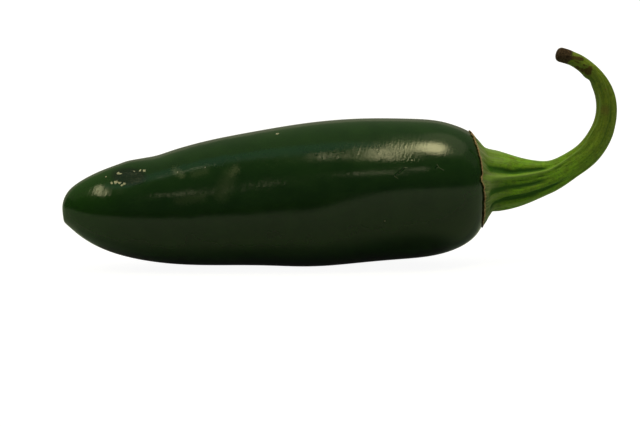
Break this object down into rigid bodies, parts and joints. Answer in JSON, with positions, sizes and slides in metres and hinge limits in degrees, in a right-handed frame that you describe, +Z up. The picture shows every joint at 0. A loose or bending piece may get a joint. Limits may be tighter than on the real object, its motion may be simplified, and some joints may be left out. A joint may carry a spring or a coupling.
{
  "type": "jalapeno pepper",
  "caption": "Glossy dark green jalapeno lying on its side, with a thin toothed calyx over its end and a ribbed stem that curls up and back to a dry cut end.",
  "frame": {"origin": "on the resting surface, in the flat spot on the pod's belly, under the centre of mass", "axes": "+X along the pod from its blossom end to its stem, +Z up; the stem curls up in the XZ plane"},
  "size_m": [0.1108, 0.0284, 0.0434],
  "materials": {
    "pod_skin": "glossy waxy dark green skin",
    "stem_skin": "satin green fibrous skin with ribs, brown and dry at the cut end"
  },
  "bodies": {
    "root": {"pod": "pod_skin", "calyx_and_stem": "stem_skin"}
  },
  "joints": []
}
